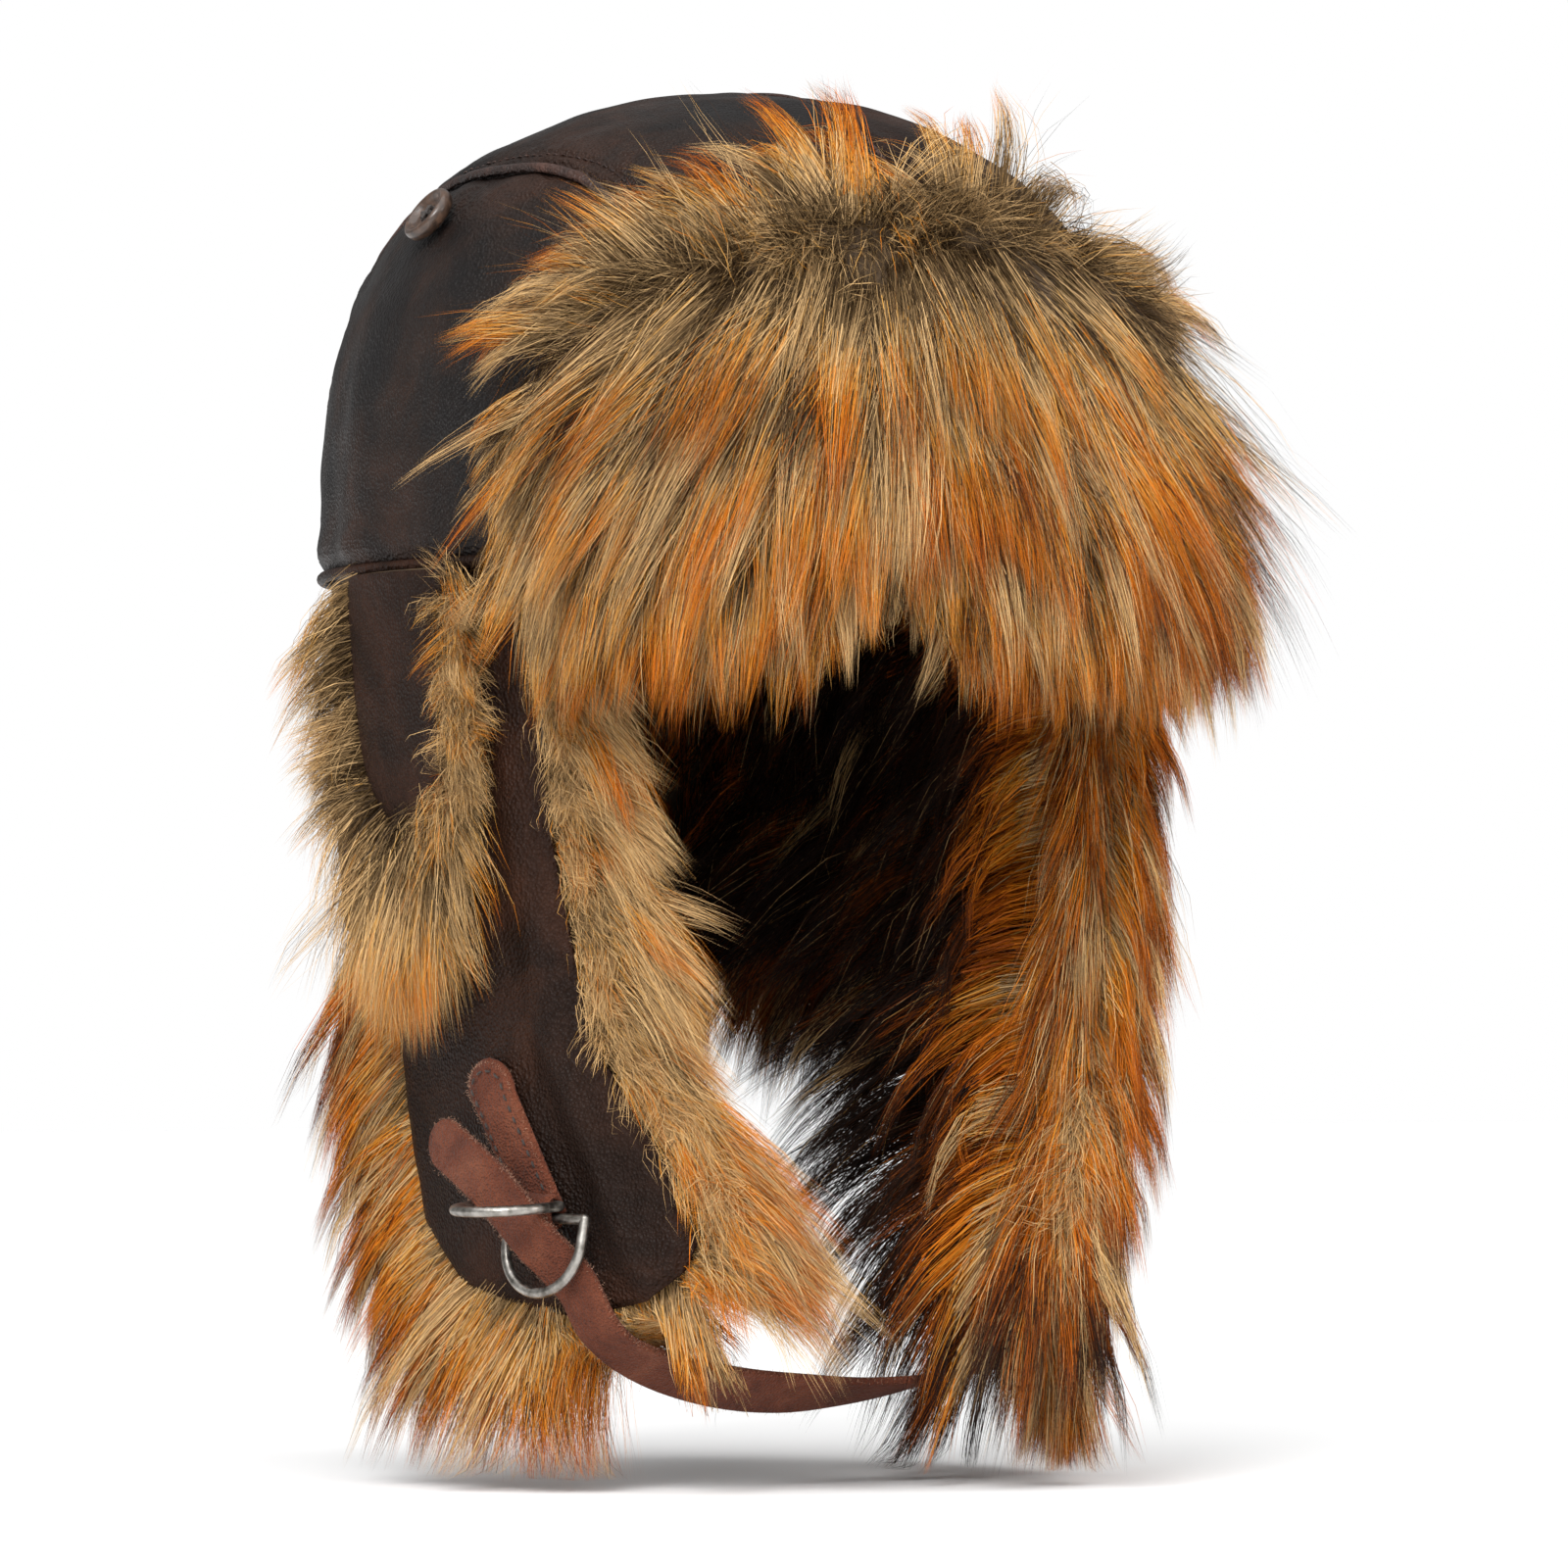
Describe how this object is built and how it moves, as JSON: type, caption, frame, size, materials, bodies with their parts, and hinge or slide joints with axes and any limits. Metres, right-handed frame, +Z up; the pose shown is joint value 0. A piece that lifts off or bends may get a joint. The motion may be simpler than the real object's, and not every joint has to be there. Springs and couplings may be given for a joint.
{
  "type": "trapper hat",
  "caption": "Padded leather trapper hat with a turned-up fur visor, fur-lined ear and neck flaps, small ear covers, and a chin strap that closes through D-rings.",
  "frame": {"origin": "middle of the head opening, level with the crown's lower edge", "axes": "+Z up through the crown, -Y the way the wearer faces, -X the wearer's right"},
  "size_m": [0.2204, 0.2655, 0.3301],
  "materials": {
    "shell_leather": "soft sheen",
    "strap_leather": "matt, fuzzy cut edges",
    "sweatband": "matt",
    "fur": "long pile",
    "felt": "matt",
    "lining": "satin",
    "horn": "polished horn",
    "ring_metal": "antique silver",
    "elastic": "matt cord",
    "thread": "waxed thread"
  },
  "bodies": {
    "crown": {"top_panel_right": "shell_leather", "top_panel_left": "shell_leather", "side_panel_right": "shell_leather", "side_panel_left": "shell_leather", "arch_welt_right": "shell_leather", "arch_welt_left": "shell_leather", "centre_welt": "shell_leather", "crown_topstitch": "thread", "edge_binding": "shell_leather", "crown_wadding": "felt", "quilted_lining": "lining", "sweatband": "sweatband", "button_right": "horn", "button_left": "horn", "button_thread_right": "thread", "button_thread_left": "thread"},
    "visor": {"visor_leather": "shell_leather", "visor_interlining": "felt", "visor_fur": "fur"},
    "right_flap": {"ear_flap_leather_right": "shell_leather", "ear_flap_interlining_right": "felt", "ear_flap_fur_right": "fur", "flap_loop_right": "elastic", "buckle_tab": "strap_leather", "buckle_tab_stitching": "thread", "chin_strap": "strap_leather"},
    "left_flap": {"ear_flap_leather_left": "shell_leather", "ear_flap_interlining_left": "felt", "ear_flap_fur_left": "fur", "flap_loop_left": "elastic", "strap_anchor": "strap_leather", "strap_anchor_stitching": "thread"},
    "neck_flap": {"neck_flap_leather": "shell_leather", "neck_flap_interlining": "felt", "neck_flap_fur": "fur"},
    "right_ear_cover": {"ear_cover_leather_right": "shell_leather", "ear_cover_fur_right": "fur", "ear_cover_loop_right": "elastic"},
    "left_ear_cover": {"ear_cover_leather_left": "shell_leather", "ear_cover_fur_left": "fur", "ear_cover_loop_left": "elastic"},
    "upper_ring": {"upper_d_ring": "ring_metal"},
    "lower_ring": {"lower_d_ring": "ring_metal"}
  },
  "joints": [
    {"name": "visor_fold", "type": "hinge", "parent": "crown", "child": "visor", "pos_m": [0, -0.1205, -0.001], "axis": [1, 0, 0], "range_deg": [0, 70]},
    {"name": "right_flap_fold", "type": "hinge", "parent": "crown", "child": "right_flap", "pos_m": [-0.1, 0, -0.001], "axis": [0, -1, 0], "range_deg": [-115, 0]},
    {"name": "left_flap_fold", "type": "hinge", "parent": "crown", "child": "left_flap", "pos_m": [0.1, 0, -0.001], "axis": [0, 1, 0], "range_deg": [-115, 0]},
    {"name": "neck_flap_fold", "type": "hinge", "parent": "crown", "child": "neck_flap", "pos_m": [0, 0.12, -0.001], "axis": [-1, 0, 0], "range_deg": [-100, 0]},
    {"name": "right_ear_cover_fold", "type": "hinge", "parent": "right_flap", "child": "right_ear_cover", "pos_m": [-0.1016, 0, -0.0038], "axis": [0, 1, 0], "range_deg": [0, 165]},
    {"name": "left_ear_cover_fold", "type": "hinge", "parent": "left_flap", "child": "left_ear_cover", "pos_m": [0.1016, 0, -0.0038], "axis": [0, -1, 0], "range_deg": [0, 165]},
    {"name": "upper_ring_swing", "type": "hinge", "parent": "right_flap", "child": "upper_ring", "pos_m": [-0.07983, -0.04644, -0.15777], "axis": [0.3451, -0.9386, 0], "range_deg": [0, 12]},
    {"name": "lower_ring_swing", "type": "hinge", "parent": "right_flap", "child": "lower_ring", "pos_m": [-0.07676, -0.05384, -0.16085], "axis": [-0.3451, 0.9386, 0], "range_deg": [0, 20]}
  ]
}
